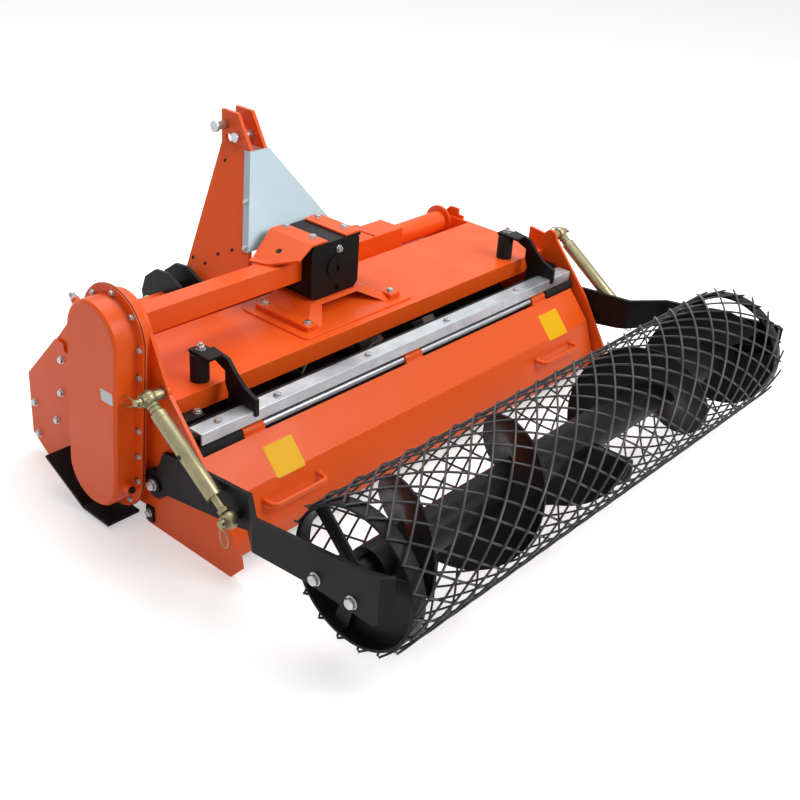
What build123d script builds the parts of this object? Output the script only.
from build123d import *
import math
import os

# Stone burier for a tractor's three-point linkage: a rotor under a hood buries
# stones behind a sieve, and a mesh roller with an auger inside firms the bed.
# X is to the right seen from behind, Y is the driving direction, Z is up.
# While modelling, Y is 0 at the rotor's axis and Z is 0 at the side plates' feet.

# Side plates
plate_gap = 1592.0
plate_t = 10.0
plate_rear = 450.0
plate_front = 417.0
deck_z = 366.0
inner_x = plate_gap / 2
outer_x = inner_x + plate_t
plate_length = plate_rear + plate_front
foot_shares = [(0.045, 0.0), (0.0, 0.117), (0.013, 0.273), (0.130, 0.700)]
toe_shares = [(0.860, 1.0), (0.993, 0.664), (1.0, 0.142), (0.912, 0.0)]
notch_shares = [(0.612, 0.0), (0.612, 0.137), (0.419, 0.137), (0.419, 0.0)]
shoulder_shares = [(0.367, 1.516), (0.674, 1.508), (0.826, 1.087)]
ear_r = 23.0
ear_front = 87.0
ear_top = 12.0
wing_t = 8.0
wing_rear = 205.0
wing_shares = [(0.0, 0.0), (0.642, 0.0), (1.0, 0.142), (0.972, 0.664), (0.429, 1.0),
               (0.288, 1.087), (0.104, 1.087), (0.104, 1.03), (0.0, 1.03)]

# Clearances: running fits by radius, moving faces, bolts in their holes, the turnbuckle's lower eye
fit_gap = 0.05
run_gap = 0.3
pin_gap = 0.3
link_gap = 1.8

# Rotor
rotor_z = 156.0
rotor_tip_r = 150.0
rotor_tube_r = 45.0
rotor_end_gap = 26.0
rotor_tube_half = inner_x - rotor_end_gap
rotor_stub_r = 25.0
rotor_flange_r = 92.0
rotor_flange_t = 10.0
rotor_flanges = 7
blades_per_flange = 4
blade_w = 46.0
blade_t = 10.0
blade_foot = 52.0
rotor_hub_r = 44.0
rotor_hub_flange_r = 66.0
rotor_hub_flange_t = 10.0
rotor_hub_depth = 34.0

# Hood
hood_t = 6.0
crease_y = -152.0
lip_drop = 54.0
deck_front = 172.0
hood_toe_y = 398.0
hood_toe_z = 226.0

# Front beam, square in the middle and round at its ends
beam_y = 300.0
beam_z = 336.0
beam_size = 100.0
beam_wall = 6.0
beam_end = 261.0
beam_half = inner_x - beam_end
beam_end_r = 37.0
beam_stub_r = 17.0
beam_flange_r = 56.0
beam_flange_t = 10.0

# Gear case on the left plate, an upright obround box with a bulged cover
case_top_y = -33.0
case_top_z = 537.0
case_flange_r = 120.0
case_shell_r = 100.0
case_depth = 25.0
case_flange_t = 6.0
case_wall = 6.0
cover_flange_t = 4.0
cover_r = 97.0
cover_wall = 15.0
cover_crown = 7.0
cover_depth = 64.0
drain_r = 13.0
drain_len = 22.0
breather_r = 11.0
breather_len = 18.0
breather_tilt = -58.0

# Shoe under the gear case
shoe_t = 8.0
shoe_rear = -53.0
shoe_rear_z = 11.0
shoe_mid = 55.0
shoe_mid_z = 14.0
shoe_front = 215.0
shoe_front_z = 98.0

# Gearbox, its pedestal on the hood and the shafts
mid_x = -60.0
gearbox_w = 191.0
gearbox_rear = -12.0
gearbox_l = 167.0
gearbox_z = 405.0
gearbox_h = 167.0
gearbox_chamfer = 16.0
gearbox_cap_r = 34.0
gearbox_cap_t = 4.0
lid_t = 8.0
lid_over = 4.0
hub_r = 46.0
hub_len = 26.0
pedestal_w = 400.0
pedestal_rear = -105.0
pedestal_front = 121.0
pedestal_rim = 8.0
pedestal_wall = 6.0
notch_w = 190.0
notch_inset = 45.0
notch_rise = 33.0
pto_r = 17.45
pto_root_r = 14.6
pto_len = 92.0
pto_splines = 6
spline_w = 8.6
tube_y = 58.0
tube_z = 490.0
tube_size = 62.5
tube_wall = 5.0

# Wing brackets from the gearbox's top down to the tube's level
bracket_t = 6.0
bracket_tab = 60.0
bracket_run = 100.0
bracket_end = 26.0
bracket_shares = [(0.0, 0.04), (0.0, 0.96), (0.27, 1.0), (1.0, 0.73), (0.89, 0.45), (0.63, 0.0), (0.35, 0.04)]
bracket_rear = -21.0
bracket_front = 162.0

# Headstock mast
mast_half = 33.0
mast_t = 12.0
mast_head = 97.0
mast_rise = 365.0
mast_foot_z = beam_z + beam_size / 2
mast_bend_z = mast_foot_z + mast_rise
mast_top = mast_bend_z + mast_head
mast_splay = 0.606
mast_front = 440.0
mast_toe = 366.0
mast_rear_top = 370.0
mast_rear_bend = 314.0
mast_rear_slope = 0.64
mast_low_share = 0.285
mast_rear_low_z = mast_foot_z + mast_rise * mast_low_share
mast_rear_low = mast_rear_bend - mast_rear_slope * (mast_bend_z - mast_rear_low_z)
mast_foot_rear = 252.0
link_hole_r = 12.9
link_hole_y = 410.0
link_hole_z = mast_bend_z + 17.0
link_pin_r = 12.5
link_pin_y = 422.0
link_pin_z = mast_bend_z + 55.0
link_pin_over = 36.0
link_head_r = 17.0
link_head_t = 8.0
clevis_bolt_r = 8.0
clevis_spacer_r = 13.0
clevis_bolt_y = 373.0
clevis_bolt_z = mast_bend_z + 28.0
clevis_head_r = 14.0
clevis_head_t = 10.0
shield_t = 3.0
shield_low_share = 0.367
shield_low_z = mast_foot_z + mast_rise * shield_low_share
shield_flange = 22.0
shield_hub_gap = 6.0

# Lower hitch brackets on the beam
hitch_span = 683.0
hitch_plate_t = 12.0
hitch_inner = 60.0
hitch_rise = 64.0
hitch_reach = 96.0
hitch_pin_r = 14.0
hitch_pin_y = 404.0
hitch_pin_z = 334.0
hitch_pin_over = 96.0
hitch_shank_r = 16.0
hitch_collar_r = 22.0
hitch_collar_t = 8.0
hitch_shares = [(0.03, 0.0), (0.10, 0.60), (0.38, 1.0), (0.66, 0.90), (0.90, 0.35),
                (1.0, -0.45), (0.96, -1.0), (0.80, -1.56), (0.40, -1.56), (0.40, 0.0)]

# Grid bar over the sieve, carried on rubber dampers
bar_end_gap = 19.0
bar_half = inner_x - bar_end_gap
bar_rear = -277.5
bar_front = -230.0
bar_top = 334.0
bar_depth = 32.0
bar_t = 5.0
damper_in = 158.0
damper_x = inner_x - damper_in
damper_y = -105.0
damper_r = 25.0
damper_h = 76.0
strap_w = 46.0
strap_t = 8.0
strap_rear = 58.0
arm_t = 12.0
arm_offset = 28.0
arm_top_y = -112.0
arm_foot_over = 6.0
arm_foot_drop = 14.0
arm_front_drop = 34.0
arm_outer_shares = [(0.0, 1.0), (0.38, 0.93), (0.55, 0.66), (0.73, 0.45), (0.92, 0.33), (1.0, 0.29)]
arm_inner_shares = [(0.37, 0.0), (0.40, 0.30), (0.33, 0.50), (0.33, 0.71), (0.0, 0.86)]
sieve_rail_h = 30.0
sieve_rail_t = 8.0
sieve_edge = 62.0
sieve_count = 24
sieve_t = 12.0
sieve_depth = 26.0
sieve_shares = [(0.0, 1.0), (0.04, 0.62), (0.24, 0.24), (0.72, 0.0)]
sieve_reach = 92.0
sieve_low = 26.0

# Tailgate behind the sieve
hinge_y = -266.0
hinge_z = 281.0
hinge_r = 9.0
knuckle_r = 14.0
knuckle_len = 70.0
knuckle_in = 186.0
knuckle_x = inner_x - knuckle_in
sleeve_r = 15.0
sleeve_len = 60.0
gate_end_gap = 14.0
gate_half = inner_x - gate_end_gap
gate_t = 5.0
gate_top_y = -286.0
gate_top_z = 275.0
gate_knee_y = -365.0
gate_knee_z = 186.0
gate_low_y = -403.0
gate_low_z = 82.0
gate_foot_y = -398.0
gate_foot_z = 32.0
gate_flange = 30.0
handle_edge = 114.0
handle_width = 187.0
handle_out = gate_half - handle_edge
handle_in = handle_out - handle_width
handle_stand = 38.0
handle_r = 7.0
handle_z = 146.0
handle_bend = 20.0

# Roller arms
pivot_y = -148.0
pivot_z = 153.0
pivot_r = 15.0
pivot_boss_r = 24.0
pivot_spacer = 6.0
roller_arm_t = 12.0
arm_nose_r = 40.0
arm_inner_x = outer_x + pivot_spacer
mesh_over = 36.0
mesh_half = outer_x + mesh_over
roller_gap = 38.0
arm_outer_x = mesh_half + roller_gap + roller_arm_t
joggle_rear = -584.0
joggle_front = -492.0
arm_tail = -984.0
arm_tail_lip = 22.0
arm_top_shares = [(0.0, 0.0), (0.047, 0.53), (0.212, 0.62), (0.395, 0.69), (0.524, 0.78), (1.0, 1.08)]
arm_low_shares = [(1.0, 0.42), (0.955, 0.31), (0.745, 0.33), (0.508, 0.235), (0.374, 0.06), (0.0, -0.235)]
arm_rise = 168.0
axle_y = -836.0
axle_z = 252.0
bearing_r = 38.0
bearing_depth = 26.0
bearing_flange_t = 9.0
bearing_bolt = 53.5
bearing_ear_r = 19.0

# Turnbuckles between the side plates' ears and the roller arms
screw_stand = 44.0
screw_x = outer_x + screw_stand
screw_top_y = -172.0
screw_top_z = 417.0
screw_low_y = -462.0
screw_low_z = 218.0
screw_pin_r = 9.0
screw_pin_over = 14.0
screw_ball_r = 22.0
screw_ball_w = 26.0
screw_sleeve_r = 20.0
screw_bore_r = 10.5
screw_rod_r = 9.5
screw_neck = 44.0
screw_neck_r = 11.0
screw_sleeve_len = 242.0
screw_rod_in = 70.0
screw_head_r = 15.0
screw_head_t = 6.0

# Roller: mesh cage, end rings, core and auger
mesh_r = 180.0
mesh_bar = 6.0
mesh_lift = 0.4
mesh_step_r = mesh_bar + mesh_lift
mesh_bars = 18
mesh_segments = 19
mesh_turns = 1.1
mesh_stub = 6.0
ring_w = 40.0
ring_x = mesh_half - mesh_stub - ring_w / 2
ring_t = 8.0
spoke_w = 40.0
spoke_t = 8.0
spokes = 3
spoke_turn = 45.0
end_plate_t = 6.0
end_plate_turn = 165.0
core_r = 52.0
core_wall = 5.0
hub_reach = 30.0
core_half = ring_x - hub_reach
hub_disc_t = 10.0
axle_r = 24.0
auger_r = 160.0
auger_t = 6.0
auger_seam = 24.0
auger_seam_gap = 4.0
auger_edge = 18.0
auger_turns = 1.95
auger_pitch = (core_half - auger_edge) / auger_turns


def yz_points(shares, y0, y1, z0, z1):
    """Points of an outline given as shares of a box from y0 to y1 and z0 to z1"""
    return [(y0 + (y1 - y0) * a, z0 + (z1 - z0) * b) for a, b in shares]


def flat(points, x0, x1):
    """A plate with an outline of (y, z) points that stands between x0 and x1"""
    low, high = min(x0, x1), max(x0, x1)
    face = make_face(Polyline(*points, close=True))
    return extrude(Plane.YZ.offset(low) * face, amount=high - low)


def round_bar(y, z, radius, x0, x1):
    """A round bar along X"""
    low, high = min(x0, x1), max(x0, x1)
    return extrude(Plane.YZ.offset(low) * (Pos(y, z) * Circle(radius)), amount=high - low)


def block(x0, x1, y0, y1, z0, z1):
    """A block between two corners"""
    size = (abs(x1 - x0), abs(y1 - y0), abs(z1 - z0))
    return Pos((x0 + x1) / 2, (y0 + y1) / 2, (z0 + z1) / 2) * Box(*size)


def strip(points, thickness):
    """Closed outline of a bent strip: the points and the same path offset to its left"""
    count = len(points)
    normals = []
    for (a0, b0), (a1, b1) in zip(points, points[1:]):
        length = math.hypot(a1 - a0, b1 - b0)
        normals.append(((b0 - b1) / length, (a1 - a0) / length))
    moved = []
    for i, (a, b) in enumerate(points):
        n0 = normals[max(i - 1, 0)]
        n1 = normals[min(i, count - 2)]
        scale = thickness / (1 + n0[0] * n1[0] + n0[1] * n1[1])
        moved.append((a + (n0[0] + n1[0]) * scale, b + (n0[1] + n1[1]) * scale))
    return list(points) + moved[::-1]


def obround(top_r, x0, x1):
    """An upright obround plate between the case's two centres"""
    lean = math.hypot(case_top_y, case_top_z - rotor_z)
    across = ((case_top_z - rotor_z) * top_r / lean, -case_top_y * top_r / lean)
    body = flat([(across[0], rotor_z + across[1]), (case_top_y + across[0], case_top_z + across[1]),
                 (case_top_y - across[0], case_top_z - across[1]), (-across[0], rotor_z - across[1])], x0, x1)
    return body + round_bar(case_top_y, case_top_z, top_r, x0, x1) + round_bar(0, rotor_z, top_r, x0, x1)


def side_plate(side):
    """A side plate with the turnbuckle's ear, and the shoulder behind the gear case on the left"""
    z_top = deck_z
    rear = yz_points(foot_shares, -plate_rear, plate_front, 0, z_top)
    toe = yz_points(toe_shares, -plate_rear, plate_front, 0, z_top)
    ear_rear = (screw_top_y - ear_r, screw_top_z)
    if side < 0:
        upper = [ear_rear] + yz_points(shoulder_shares, -plate_rear, plate_front, 0, z_top)
        toe += yz_points(notch_shares, -plate_rear, plate_front, 0, z_top)
    else:
        upper = [ear_rear, (-ear_front, screw_top_z + ear_top), (-ear_front, z_top)]
    plate = flat(rear + upper + toe, side * inner_x, side * outer_x)
    plate += round_bar(screw_top_y, screw_top_z, ear_r, side * inner_x, side * outer_x)
    if side < 0:
        plate += round_bar(case_top_y, case_top_z, case_shell_r, side * inner_x, side * outer_x)
    plate -= round_bar(0, rotor_z, rotor_stub_r + run_gap, side * inner_x, side * outer_x)
    return plate


def wing_plate(side):
    """The bolted plate over the side plate's front"""
    points = yz_points(wing_shares, wing_rear, plate_front, 0, deck_z)
    return flat(points, side * outer_x, side * (outer_x + wing_t))


def hood():
    """The folded hood: rear lip, deck, slope, seat under the beam and front slope"""
    beam_low = beam_z - beam_size / 2
    path = [(crease_y, deck_z - lip_drop), (crease_y, deck_z), (deck_front, deck_z),
            (beam_y - beam_size / 2, beam_low), (beam_y + beam_size / 2, beam_low),
            (hood_toe_y, hood_toe_z)]
    return flat(strip(path, -hood_t), -inner_x, inner_x)


def beam():
    """The front beam: a flanged round end on the right, a stub behind the wing plate on the left"""
    half = beam_size / 2
    core = half - beam_wall
    body = block(-beam_half, beam_half, beam_y - half, beam_y + half, beam_z - half, beam_z + half)
    body -= block(-beam_half + beam_wall, beam_half - beam_wall, beam_y - core, beam_y + core,
                  beam_z - core, beam_z + core)
    end = round_bar(beam_y, beam_z, beam_end_r, beam_half, inner_x - beam_flange_t)
    end -= round_bar(beam_y, beam_z, beam_end_r - beam_wall, beam_half, inner_x)
    flange = round_bar(beam_y, beam_z, beam_flange_r, inner_x - beam_flange_t, inner_x)
    body += end + flange + round_bar(beam_y, beam_z, beam_stub_r, -beam_half, -inner_x)
    seat = block(-inner_x, inner_x, beam_y - beam_size, beam_y + beam_size,
                 beam_z - beam_size, beam_z - half)
    return body - seat


def case_shell():
    """The gear case's rear half with its flange"""
    x1 = -outer_x - case_depth
    shell = obround(case_shell_r, -outer_x, x1)
    shell += obround(case_flange_r, x1, x1 - case_flange_t)
    shell -= obround(case_shell_r - case_wall, -outer_x - case_wall, x1 - case_flange_t)
    return shell


def case_cover():
    """The bulged cover, with the breather on top and the drain boss low at the rear"""
    x0 = -outer_x - case_depth - case_flange_t
    x1 = x0 - cover_flange_t
    x2 = x1 - cover_depth
    cover = obround(case_flange_r, x0, x1) + obround(cover_r, x1, x2)
    rim = cover.faces().sort_by(Axis.X)[0].edges()
    cover = chamfer(rim, cover_crown)
    hollow = obround(cover_r - cover_wall, x0, x2 + case_wall)
    cover -= hollow
    mid = (x1 + x2) / 2
    breather = Pos(mid, case_top_y, case_top_z) * Rot(breather_tilt, 0, 0) * Cylinder(
        breather_r, cover_r + breather_len, align=(Align.CENTER, Align.CENTER, Align.MIN))
    drain = Pos(mid, 0, rotor_z - drain_r) * Rot(90, 0, 0) * Cylinder(
        drain_r, cover_r + drain_len, align=(Align.CENTER, Align.CENTER, Align.MIN))
    return cover + (breather - hollow) + (drain - hollow)


def shoe():
    """The bent skid shoe below the gear case"""
    x1 = outer_x + case_depth + case_flange_t + cover_flange_t + cover_depth
    path = [(shoe_rear, shoe_rear_z), (shoe_mid, shoe_mid_z), (shoe_front, shoe_front_z)]
    return flat(strip(path, shoe_t), -outer_x - wing_t, -x1) + flat(
        strip(path[:2], shoe_t), -outer_x, -outer_x - wing_t)


def rotor_hub():
    """The flanged bearing housing outside the right plate"""
    x1 = outer_x + rotor_hub_flange_t
    hub = round_bar(0, rotor_z, rotor_hub_flange_r, outer_x, x1)
    hub += round_bar(0, rotor_z, rotor_hub_r, x1, outer_x + rotor_hub_depth)
    depth = outer_x + rotor_hub_depth - rotor_hub_flange_t
    return hub - round_bar(0, rotor_z, rotor_stub_r + fit_gap, outer_x, depth)


def rotor_shaft():
    """The rotor's tube with its flanges and end stubs"""
    shaft = round_bar(0, rotor_z, rotor_tube_r, -rotor_tube_half, rotor_tube_half)
    end = outer_x + rotor_hub_depth - rotor_hub_flange_t - run_gap
    shaft += round_bar(0, rotor_z, rotor_stub_r, -outer_x + run_gap, end)
    for i in range(rotor_flanges):
        x = rotor_flange_x(i)
        shaft += round_bar(0, rotor_z, rotor_flange_r, x - rotor_flange_t / 2, x + rotor_flange_t / 2)
    return shaft


def rotor_flange_x(i):
    """Centre of one of the rotor's flanges"""
    span = 2 * (rotor_tube_half - rotor_flange_t - blade_foot)
    return -span / 2 + span * i / (rotor_flanges - 1)


def blade():
    """An L blade in the XZ plane: its shank on the flange's side and its foot along X"""
    reach = rotor_tip_r * math.cos(math.asin(blade_w / 2 / rotor_tip_r))
    shank = block(0, blade_t, -blade_w / 2, blade_w / 2, rotor_tube_r + blade_t, reach)
    foot = block(0, blade_foot, -blade_w / 2, blade_w / 2, reach - blade_t, reach)
    return shank + foot


def rotor_blades():
    """Blades on the right of each flange, turned on a little from one flange to the next"""
    blades = []
    for i in range(rotor_flanges):
        for j in range(blades_per_flange):
            turn = 360 / blades_per_flange * (j + i / rotor_flanges)
            x = rotor_flange_x(i) + rotor_flange_t / 2
            blades.append(Pos(x, 0, rotor_z) * Rot(turn, 0, 0) * blade())
    return Compound(blades)


def pan_form(inset, height):
    """The pan's form: a wide foot on the deck that closes in to the gearbox's base"""
    wide = pedestal_w / 2 - inset
    narrow = gearbox_w / 2 + pedestal_rim - inset
    low = [(-wide, pedestal_rear + inset), (wide, pedestal_rear + inset),
           (wide, pedestal_front - inset), (-wide, pedestal_front - inset)]
    rear = gearbox_rear - pedestal_rim + inset
    high = [(-narrow, rear), (narrow, rear), (narrow, pedestal_front - inset), (-narrow, pedestal_front - inset)]
    foot, top = [Pos(mid_x, 0, z) * make_face(Polyline(*points, close=True))
                 for points, z in ((low, deck_z), (high, deck_z + height))]
    return loft([foot, top], ruled=True)


def pedestal():
    """The tapered pan that carries the gearbox on the hood"""
    height = gearbox_z - deck_z
    outer = pan_form(0, height)
    inner = pan_form(pedestal_wall, height - pedestal_wall)
    low = notch_w / 2 + notch_inset
    high = notch_w / 2 - notch_inset / 2
    notch = make_face(Polyline((-low, 0), (low, 0), (high, notch_rise), (-high, notch_rise), close=True))
    cut = extrude(Plane(origin=(mid_x, gearbox_rear, deck_z), x_dir=(1, 0, 0), z_dir=(0, -1, 0)) * notch,
                  amount=gearbox_rear - pedestal_rear)
    return outer - inner - cut


def gearbox():
    """The gearbox with its rear cap and front hub"""
    half = gearbox_w / 2
    front = gearbox_rear + gearbox_l
    body = block(mid_x - half, mid_x + half, gearbox_rear, front, gearbox_z, gearbox_z + gearbox_h)
    body = chamfer(body.edges().filter_by(Axis.Y), gearbox_chamfer)
    top = gearbox_z + gearbox_h
    body += block(mid_x - half, mid_x + half, gearbox_rear - lid_over, front + lid_over, top - lid_t, top)
    cap = Pos(mid_x, gearbox_rear - gearbox_cap_t / 2, tube_z) * Rot(90, 0, 0) * Cylinder(gearbox_cap_r, gearbox_cap_t)
    hub = Pos(mid_x, front + hub_len / 2, tube_z) * Rot(90, 0, 0) * Cylinder(hub_r, hub_len)
    bore = Pos(mid_x, front + hub_len / 2, tube_z) * Rot(90, 0, 0) * Cylinder(pto_r + fit_gap, hub_len)
    return body + cap + hub - bore


def pto_shaft():
    """The splined input shaft"""
    front = gearbox_rear + gearbox_l
    length = hub_len + pto_len
    middle = front + run_gap + length / 2
    shaft = Pos(mid_x, middle, tube_z) * Rot(90, 0, 0) * Cylinder(pto_root_r, length)
    journal = Pos(mid_x, front + run_gap + hub_len / 2, tube_z) * Rot(90, 0, 0) * Cylinder(pto_r, hub_len)
    depth = math.sqrt(pto_r ** 2 - (spline_w / 2) ** 2)
    for i in range(pto_splines):
        turned = Pos(mid_x, middle, tube_z) * Rot(0, 360 / pto_splines * i, 0)
        shaft += turned * block(-spline_w / 2, spline_w / 2, -length / 2, length / 2, 0, depth)
    return shaft + journal


def drive_tube():
    """The square tube from the gearbox to the left plate"""
    half = tube_size / 2
    core = half - tube_wall
    x0, x1 = -inner_x, mid_x - gearbox_w / 2
    tube = block(x0, x1, tube_y - half, tube_y + half, tube_z - half, tube_z + half)
    return tube - block(x0, x1, tube_y - core, tube_y + core, tube_z - core, tube_z + core)


def bracket_wing(side):
    """A bent bracket from the gearbox's top outwards, down to the tube's top"""
    edge = gearbox_w / 2
    top = gearbox_z + gearbox_h
    low = tube_z + tube_size / 2
    path = [(edge - bracket_tab, top), (edge, top), (edge + bracket_run, low), (edge + bracket_run + bracket_end, low)]
    profile = [(mid_x + side * a, b) for a, b in strip(path, bracket_t)]
    face = make_face(Polyline(*profile, close=True))
    sheet = extrude(Plane(origin=(0, bracket_front, 0), x_dir=(1, 0, 0), z_dir=(0, -1, 0)) * face,
                    amount=bracket_front - bracket_rear)
    x0, x1 = mid_x + side * (edge - bracket_tab), mid_x + side * (edge + bracket_run + bracket_end)
    plan = make_face(Polyline(*yz_points(bracket_shares, x0, x1, bracket_rear, bracket_front), close=True))
    return sheet & extrude(Pos(0, 0, low - bracket_t) * plan, amount=top - low + 3 * bracket_t)


def mast_profile(inset, thickness):
    """The mast plates' bent profile in X and Z, to one side of the middle"""
    splay = mast_splay * mast_rise
    path = [(mast_half + inset + splay, mast_foot_z), (mast_half + inset, mast_bend_z), (mast_half + inset, mast_top)]
    low, high = path[0], path[-1]
    run = mast_rise
    longer = (low[0] + (low[0] - path[1][0]) * thickness / run, low[1] - thickness)
    return strip([longer, path[1], (high[0], high[1] + thickness)], thickness)


def mast_outline():
    """The mast plates' outline in Y and Z"""
    return [(mast_front, mast_top), (mast_front, mast_bend_z), (mast_toe, mast_foot_z), (mast_foot_rear, mast_foot_z),
            (mast_rear_low, mast_rear_low_z), (mast_rear_bend, mast_bend_z), (mast_rear_top, mast_top)]


def across_y(profile, y0, y1):
    """An (x, z) profile about the machine's middle, drawn out along Y"""
    face = make_face(Polyline(*[(mid_x + a, b) for a, b in profile], close=True))
    return extrude(Plane(origin=(0, y1, 0), x_dir=(1, 0, 0), z_dir=(0, -1, 0)) * face, amount=y1 - y0)


def mast_plate(side):
    """One bent mast plate, with the holes for the top link"""
    profile = [(side * a, b) for a, b in mast_profile(0, mast_t)]
    bent = across_y(profile, mast_rear_low, mast_front)
    reach = mast_half + mast_splay * mast_top
    plate = bent & flat(mast_outline(), mid_x, mid_x + side * reach)
    for y, z, radius in [(link_hole_y, link_hole_z, link_hole_r), (link_pin_y, link_pin_z, link_pin_r + pin_gap),
                         (clevis_bolt_y, clevis_bolt_z, clevis_bolt_r + pin_gap)]:
        plate -= round_bar(y, z, radius, mid_x, mid_x + side * reach)
    return plate


def mast_rear_y(z):
    """The mast plates' rear edge below their bend"""
    return mast_rear_bend - mast_rear_slope * (mast_bend_z - z)


def mast_shield():
    """The folded sheet behind the mast, with flanges over the plates' outsides and a cut above the gearbox's hub"""
    low_y = mast_rear_y(shield_low_z)
    back = run_gap * 2
    rear = [(low_y - back, shield_low_z), (mast_rear_bend - back, mast_bend_z)]
    side_step = (shield_t + run_gap) * math.hypot(1, mast_splay)
    wide = [(mast_half + side_step, mast_bend_z),
            (mast_half + side_step + mast_splay * (mast_bend_z - shield_low_z), shield_low_z)]
    outline = wide + [(-a, b) for a, b in wide[::-1]]
    sheet = flat(strip(rear, shield_t), mid_x - mast_top, mid_x + mast_top) & across_y(outline, 0, mast_front)
    flange = [(y + shield_flange * step, z) for step, row in ((0, rear), (1, rear[::-1])) for y, z in row]
    for side in (-1, 1):
        profile = [(side * a, b) for a, b in mast_profile(side_step, shield_t)]
        sheet += across_y(profile, 0, mast_front) & flat(flange, mid_x, mid_x + side * mast_top)
    hub = Pos(mid_x, mast_rear_bend, tube_z) * Rot(90, 0, 0) * Cylinder(hub_r + shield_hub_gap, 2 * mast_rear_bend)
    return sheet - hub


def top_link_pin():
    """The pin that waits in the mast's upper hole, with a head on the left"""
    reach = mast_half + link_pin_over
    pin = round_bar(link_pin_y, link_pin_z, link_pin_r, mid_x - reach, mid_x + mast_half + link_head_t)
    return pin + round_bar(link_pin_y, link_pin_z, link_head_r, mid_x - reach - link_head_t, mid_x - reach)


def clevis_bolt():
    """The bolt and spacer that hold the mast's plates apart"""
    inner = mast_half - mast_t
    out = mast_half + clevis_head_t
    bolt = round_bar(clevis_bolt_y, clevis_bolt_z, clevis_bolt_r, mid_x - out, mid_x + out)
    bolt += round_bar(clevis_bolt_y, clevis_bolt_z, clevis_spacer_r, mid_x - inner, mid_x + inner)
    for side in (-1, 1):
        bolt += round_bar(clevis_bolt_y, clevis_bolt_z, clevis_head_r, mid_x + side * mast_half, mid_x + side * out)
    return bolt


def hitch_bracket(side):
    """Two clevis plates over the beam's front edge, joined by a strap on its top"""
    y0 = beam_y - beam_size / 2
    y1 = beam_y + beam_size / 2 + hitch_reach
    top = beam_z + beam_size / 2
    points = yz_points(hitch_shares, y0, y1, top, top + hitch_rise)
    out = hitch_span / 2
    gap = out - hitch_plate_t - hitch_inner
    plates = flat(points, mid_x + side * out, mid_x + side * (out - hitch_plate_t))
    plates += flat(points, mid_x + side * gap, mid_x + side * (gap - hitch_plate_t))
    strap_y = beam_y + beam_size / 2
    plates += block(mid_x + side * out, mid_x + side * (gap - hitch_plate_t), strap_y - hitch_plate_t * 2, strap_y,
                    top, top + hitch_plate_t)
    plates -= round_bar(hitch_pin_y, hitch_pin_z, hitch_shank_r + pin_gap, mid_x + side * out,
                        mid_x + side * (gap - hitch_plate_t))
    half = beam_size / 2
    return plates - block(-inner_x, inner_x, beam_y - half, beam_y + half, beam_z - beam_size, beam_z + half)


def hitch_pin(side):
    """The lower link's pin: a thicker shank through both plates, a collar, and the free end outwards"""
    out = hitch_span / 2
    inside = out - 2 * hitch_plate_t - hitch_inner
    seat = out + hitch_collar_t
    pin = round_bar(hitch_pin_y, hitch_pin_z, hitch_shank_r, mid_x + side * inside, mid_x + side * out)
    pin += round_bar(hitch_pin_y, hitch_pin_z, hitch_collar_r, mid_x + side * out, mid_x + side * seat)
    pin += round_bar(hitch_pin_y, hitch_pin_z, hitch_pin_r, mid_x + side * seat, mid_x + side * (seat + hitch_pin_over))
    return pin + round_bar(hitch_pin_y, hitch_pin_z, hitch_collar_r, mid_x + side * inside,
                           mid_x + side * (inside - hitch_plate_t))


def grid_bar():
    """The channel over the sieve, open below"""
    bar = block(-bar_half, bar_half, bar_rear, bar_front, bar_top - bar_depth, bar_top)
    return bar - block(-bar_half, bar_half, bar_rear + bar_t, bar_front - bar_t, bar_top - bar_depth, bar_top - bar_t)


def damper(side):
    """A rubber damper on the hood"""
    foot = Pos(side * damper_x, damper_y, deck_z)
    return foot * extrude(Circle(damper_r), amount=damper_h)


def grid_arm(side):
    """The clamp arm: a strap on the damper and, on its right, a plate notched over the grid bar"""
    strap_z = deck_z + damper_h
    x0 = side * damper_x + arm_offset
    rear = bar_rear - arm_foot_over
    top = strap_z + strap_t
    outer = yz_points(arm_outer_shares, arm_top_y, rear, bar_top, top)
    rail = bar_front + sieve_rail_t + run_gap
    notch = [(rear, bar_top - arm_foot_drop), (bar_rear - run_gap, bar_top - arm_foot_drop), (bar_rear - run_gap, bar_top),
             (rail, bar_top), (rail, bar_top - arm_front_drop)]
    inner = yz_points(arm_inner_shares, arm_top_y, rear, bar_top - arm_front_drop, top)
    arm = flat(outer + notch + inner, x0, x0 + arm_t)
    front = damper_y + strap_w / 2
    return arm + block(x0 - strap_w, x0, damper_y - strap_rear, front, strap_z, top)


def sieve():
    """The sieve: hooked tines on a rail bolted to the channel's front"""
    rail_y = bar_front + sieve_rail_t
    body = block(-bar_half, bar_half, bar_front, rail_y, bar_top - sieve_rail_h, bar_top)
    path = yz_points(sieve_shares, bar_front, bar_front + sieve_reach, sieve_low, bar_top - sieve_rail_h)
    first = sieve_edge - bar_half
    pitch = -2 * first / (sieve_count - 1)
    tine = flat(strip(path, sieve_depth), -sieve_t / 2, sieve_t / 2)
    for i in range(sieve_count):
        body += Pos(first + pitch * i, 0, 0) * tine
    return body


def hinge_rod():
    """The tailgate's hinge rod with a sleeve at each end"""
    rod = round_bar(hinge_y, hinge_z, hinge_r, -inner_x, inner_x)
    for side in (-1, 1):
        rod += round_bar(hinge_y, hinge_z, sleeve_r, side * (inner_x - sleeve_len), side * inner_x)
    return rod


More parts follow.
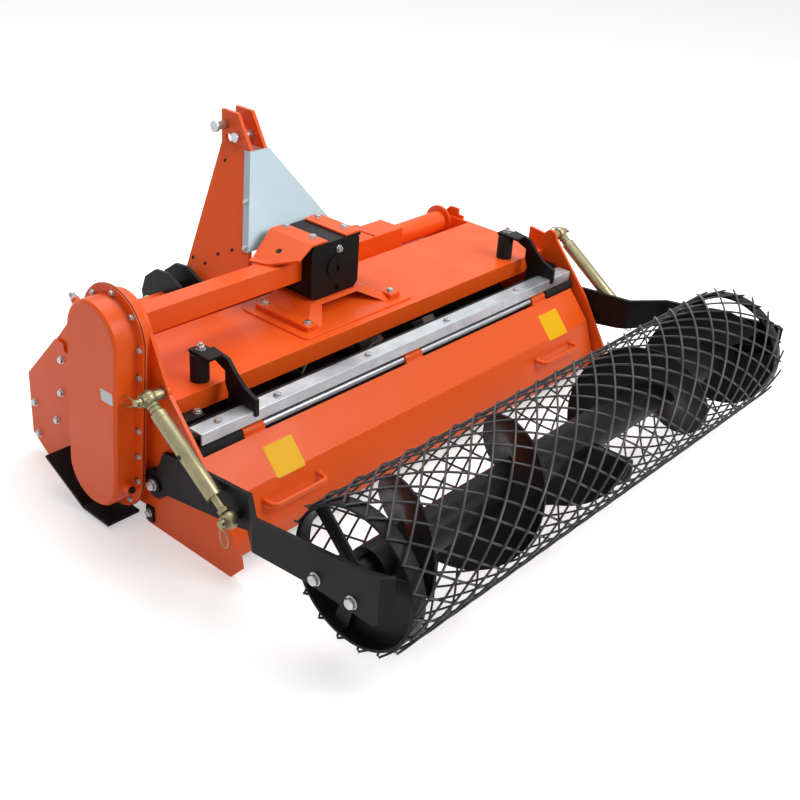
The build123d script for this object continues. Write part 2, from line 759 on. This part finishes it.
def tailgate():
    """The bent tailgate with its knuckles and folded ends"""
    path = [(gate_foot_y, gate_foot_z), (gate_low_y, gate_low_z), (gate_knee_y, gate_knee_z), (gate_top_y, gate_top_z)]
    gate = flat(strip(path, -gate_t), -gate_half, gate_half)
    inside = strip(path, -gate_flange)
    for side in (-1, 1):
        gate += flat(inside, side * (gate_half - gate_t), side * gate_half)
    sleeve_reach = inner_x - sleeve_len - run_gap
    gate -= round_bar(hinge_y, hinge_z, sleeve_r + gate_t, sleeve_reach, inner_x)
    gate -= round_bar(hinge_y, hinge_z, sleeve_r + gate_t, -inner_x, -sleeve_reach)
    for x in (-knuckle_x, 0, knuckle_x):
        x0, x1 = x - knuckle_len / 2, x + knuckle_len / 2
        gate += round_bar(hinge_y, hinge_z, knuckle_r, x0, x1)
        gate += flat([(gate_top_y - gate_t, gate_top_z - gate_t), (hinge_y, hinge_z - knuckle_r),
                      (hinge_y, hinge_z), (gate_top_y, gate_top_z)], x0, x1)
    return gate - round_bar(hinge_y, hinge_z, hinge_r + fit_gap, -inner_x, inner_x)


def gate_face_y(z):
    """The rear face of the tailgate between its knee and its low fold"""
    share = (z - gate_low_z) / (gate_knee_z - gate_low_z)
    return gate_low_y + (gate_knee_y - gate_low_y) * share


def handle(side):
    """A bent round handle on the tailgate"""
    face_y = gate_face_y(handle_z)
    back = face_y - handle_stand
    x0, x1 = side * handle_in, side * handle_out
    path = FilletPolyline((x0, face_y, handle_z), (x0, back, handle_z), (x1, back, handle_z),
                          (x1, face_y, handle_z), radius=handle_bend)
    bar = sweep(Plane(origin=path @ 0, z_dir=path % 0) * Circle(handle_r), path=path)
    gate = flat([(gate_low_y, gate_low_z), (gate_knee_y, gate_knee_z), (0, gate_knee_z), (0, gate_low_z)],
                -gate_half, gate_half)
    return bar - gate


def pivot_bolt(side):
    """The roller arm's pivot: spacer, journal and head on the side plate"""
    x1 = arm_inner_x - run_gap
    x2 = arm_inner_x + roller_arm_t + run_gap
    bolt = round_bar(pivot_y, pivot_z, pivot_boss_r, side * outer_x, side * x1)
    bolt += round_bar(pivot_y, pivot_z, pivot_r, side * x1, side * x2)
    return bolt + round_bar(pivot_y, pivot_z, pivot_boss_r, side * x2, side * (x2 + pivot_spacer))


def roller_arm(side):
    """The joggled flat bar that carries the roller's bearing"""
    y_front = pivot_y + arm_nose_r
    top = yz_points(arm_top_shares, pivot_y, arm_tail, pivot_z + arm_nose_r / 2, pivot_z + arm_nose_r / 2 + arm_rise)
    low = yz_points(arm_low_shares, pivot_y, arm_tail, pivot_z + arm_nose_r / 2, pivot_z + arm_nose_r / 2 + arm_rise)
    nose = round_bar(pivot_y, pivot_z, arm_nose_r, 0, arm_outer_x)
    side_view = flat(top + low, 0, arm_outer_x) + nose
    plan = [(arm_tail, arm_outer_x - arm_tail_lip), (arm_tail + arm_tail_lip, arm_outer_x),
            (joggle_rear, arm_outer_x), (joggle_front, arm_inner_x + roller_arm_t), (y_front, arm_inner_x + roller_arm_t)]
    face = make_face(Polyline(*[(x, y) for y, x in strip(plan, -roller_arm_t)], close=True))
    arm = extrude(face, amount=deck_z * 2) & side_view
    arm -= round_bar(pivot_y, pivot_z, pivot_r + fit_gap, 0, arm_outer_x)
    pin_end = screw_x + screw_ball_w / 2 + screw_pin_over
    arm += round_bar(screw_low_y, screw_low_z, screw_pin_r, arm_inner_x + roller_arm_t, pin_end)
    return arm if side > 0 else mirror(arm, about=Plane.YZ)


def bearing(side):
    """The two-bolt flange bearing inside the arm"""
    x0 = arm_outer_x - roller_arm_t
    body = round_bar(axle_y, axle_z, bearing_r, x0, x0 - bearing_depth)
    for end in (-1, 1):
        body += round_bar(axle_y + end * bearing_bolt, axle_z, bearing_ear_r, x0, x0 - bearing_flange_t)
    body += block(x0, x0 - bearing_flange_t, axle_y - bearing_bolt, axle_y + bearing_bolt,
                  axle_z - bearing_ear_r, axle_z + bearing_ear_r)
    body -= round_bar(axle_y, axle_z, axle_r + fit_gap, x0, x0 - bearing_depth)
    return body if side > 0 else mirror(body, about=Plane.YZ)


def turnbuckle_frame():
    """Plane at the upper eye that looks down the turnbuckle, and the distance between the eyes"""
    dy, dz = screw_low_y - screw_top_y, screw_low_z - screw_top_z
    length = math.hypot(dy, dz)
    frame = Plane(origin=(screw_x, screw_top_y, screw_top_z), x_dir=(1, 0, 0), z_dir=(0, dy / length, dz / length))
    return frame, length


def eye():
    """A ball eye about the local origin, bored along X"""
    ball = Sphere(screw_ball_r) & Box(screw_ball_w, 2 * screw_ball_r, 2 * screw_ball_r)
    return ball


def turnbuckle_sleeve(side):
    """The upper eye, its neck and the threaded sleeve"""
    frame, length = turnbuckle_frame()
    piece = eye() + extrude(Circle(screw_neck_r), amount=screw_neck)
    piece += Pos(0, 0, screw_neck) * extrude(Circle(screw_sleeve_r), amount=screw_sleeve_len)
    piece -= Pos(0, 0, screw_neck * 2) * extrude(Circle(screw_bore_r), amount=screw_sleeve_len)
    piece -= Rot(0, 90, 0) * Cylinder(screw_pin_r + fit_gap, screw_ball_w)
    piece = frame * piece
    return piece if side > 0 else mirror(piece, about=Plane.YZ)


def turnbuckle_rod(side):
    """The lower eye and the rod that screws into the sleeve"""
    frame, length = turnbuckle_frame()
    start = screw_neck + screw_sleeve_len - screw_rod_in
    rod = Pos(0, 0, start) * extrude(Circle(screw_rod_r), amount=length - start)
    rod += Pos(0, 0, length) * eye()
    rod -= Pos(0, 0, length) * Rot(0, 90, 0) * Cylinder(screw_pin_r + link_gap, screw_ball_w)
    rod = frame * rod
    return rod if side > 0 else mirror(rod, about=Plane.YZ)


def turnbuckle_pin(side):
    """The stub pin on the side plate's ear, with a head outside the eye"""
    end = screw_x + screw_ball_w / 2 + run_gap
    pin = round_bar(screw_top_y, screw_top_z, screw_pin_r, side * outer_x, side * end)
    collar = screw_x - screw_ball_w / 2 - run_gap
    pin += round_bar(screw_top_y, screw_top_z, screw_head_r, side * outer_x, side * collar)
    return pin + round_bar(screw_top_y, screw_top_z, screw_head_r, side * end, side * (end + screw_head_t))


def ring_outer():
    """Outer radius of the end rings, just inside the inner family's bars"""
    half_step = math.radians(360 * mesh_turns / mesh_segments / 2)
    return mesh_r * math.cos(half_step) - mesh_bar / 2 - run_gap


def roller_end(side):
    """An end ring with its spokes and hub, and the plate that closes its lower half"""
    outer = ring_outer()
    low, high = ring_x - ring_w / 2, ring_x + ring_w / 2
    ring = round_bar(0, 0, outer, low, high) - round_bar(0, 0, outer - ring_t, low, high)
    hub = round_bar(0, 0, axle_r + ring_t, core_half, ring_x + spoke_t / 2)
    x0, x1 = ring_x - spoke_t / 2, ring_x + spoke_t / 2
    for i in range(spokes):
        turn = spoke_turn + 360 / spokes * i
        ring += Rot(turn, 0, 0) * block(x0, x1, axle_r, outer - ring_t / 2, -spoke_w / 2, spoke_w / 2)
    plate = round_bar(0, 0, outer - ring_t / 2, low, low + end_plate_t)
    plate -= Rot(end_plate_turn, 0, 0) * block(low, low + end_plate_t, -outer, outer, -outer, 0)
    ring = ring + hub + plate - round_bar(0, 0, axle_r, core_half, ring_x + ring_w)
    ring = Pos(0, axle_y, axle_z) * ring
    return ring if side > 0 else mirror(ring, about=Plane.YZ)


def roller_core():
    """The core tube with its end discs and axle stubs"""
    core = round_bar(axle_y, axle_z, core_r, -core_half, core_half)
    core -= round_bar(axle_y, axle_z, core_r - core_wall, -core_half + hub_disc_t, core_half - hub_disc_t)
    for side in (-1, 1):
        core += round_bar(axle_y, axle_z, axle_r, side * core_half, side * (arm_outer_x - roller_arm_t - run_gap))
    return core


def auger_flight(start):
    """One flight on the core's right half, from its start near the middle out to the core's end"""
    reach = core_half - auger_edge - start
    middle = (auger_r + core_r) / 2
    path = Helix(auger_pitch, reach, middle)
    section = Plane(origin=path @ 0, x_dir=(1, 0, 0), z_dir=path % 0) * Rectangle(auger_r - core_r, auger_t)
    flight = sweep(section, path=path, is_frenet=True)
    flight -= Pos(0, 0, -auger_pitch) * extrude(Circle(core_r), amount=reach + 2 * auger_pitch)
    return Pos(start, axle_y, axle_z) * Rot(0, 90, 0) * Rot(0, 0, -90) * flight


def roller_auger():
    """Two flights of opposite hand that meet behind the axle, a little right of the middle"""
    right = auger_flight(auger_seam + auger_seam_gap)
    left = auger_flight(auger_seam_gap - auger_seam)
    return Compound([right, mirror(left, about=Plane.YZ)])


def mesh_bar_solid(radius, hand, start):
    """A bar wound along the cage in short lengths, each end square to the axle"""
    turn = hand * math.radians(360 * mesh_turns) / mesh_segments
    step = 2 * mesh_half / mesh_segments
    width = mesh_bar * math.hypot(1, radius * turn / step)
    sections = []
    for k in range(mesh_segments + 1):
        angle = start + turn * k
        out_y, out_z = math.cos(angle), math.sin(angle)
        origin = (-mesh_half + step * k, axle_y + radius * out_y, axle_z + radius * out_z)
        frame = Plane(origin=origin, x_dir=(0, out_y, out_z), z_dir=(1, 0, 0))
        sections.append(frame * Rectangle(mesh_bar, width))
    return loft(sections, ruled=True)


def roller_mesh():
    """Two families of bars, wound opposite ways, the second on the first"""
    bars = []
    for hand, radius in ((1, mesh_r), (-1, mesh_r + mesh_step_r)):
        for i in range(mesh_bars):
            bars.append(mesh_bar_solid(radius, hand, math.radians(360 * i / mesh_bars)))
    return Compound(bars)


def make_pieces():
    """Every piece of the machine by its name"""
    pieces = {
        "hood_sheet": hood(),
        "front_beam": beam(),
        "gear_case": case_shell(),
        "gear_case_cover": case_cover(),
        "case_shoe": shoe(),
        "rotor_hub": rotor_hub(),
        "rotor_shaft": rotor_shaft(),
        "rotor_blades": rotor_blades(),
        "gearbox_pedestal": pedestal(),
        "gearbox": gearbox(),
        "pto_shaft": pto_shaft(),
        "drive_tube": drive_tube(),
        "mast_shield": mast_shield(),
        "top_link_pin": top_link_pin(),
        "clevis_bolt": clevis_bolt(),
        "grid_bar": grid_bar(),
        "sieve": sieve(),
        "hinge_rod": hinge_rod(),
        "tailgate": tailgate(),
        "roller_core": roller_core(),
        "roller_auger": roller_auger(),
        "roller_mesh": roller_mesh(),
    }
    paired = {
        "side_plate": side_plate,
        "wing_plate": wing_plate,
        "bracket_wing": bracket_wing,
        "mast_plate": mast_plate,
        "hitch_bracket": hitch_bracket,
        "hitch_pin": hitch_pin,
        "damper": damper,
        "grid_arm": grid_arm,
        "tailgate_handle": handle,
        "pivot_bolt": pivot_bolt,
        "roller_arm": roller_arm,
        "roller_bearing": bearing,
        "turnbuckle_pin": turnbuckle_pin,
        "turnbuckle_sleeve": turnbuckle_sleeve,
        "turnbuckle_rod": turnbuckle_rod,
        "roller_end": roller_end,
    }
    for name, make in paired.items():
        pieces[name + "_left"] = make(-1)
        pieces[name + "_right"] = make(1)
    return pieces


def footprint(pieces):
    """Middle of the machine's footprint on the ground"""
    boxes = [piece.bounding_box() for piece in pieces.values()]
    x = (min(b.min.X for b in boxes) + max(b.max.X for b in boxes)) / 2
    y = (min(b.min.Y for b in boxes) + max(b.max.Y for b in boxes)) / 2
    return Vector(x, y, min(b.min.Z for b in boxes))


def main():
    """Write each piece with the origin at the middle of the footprint"""
    os.makedirs("parts", exist_ok=True)
    pieces = make_pieces()
    origin = footprint(pieces)
    for name, piece in pieces.items():
        export_step(Pos(-origin.X, -origin.Y, -origin.Z) * piece, f"parts/{name}.step")


main()
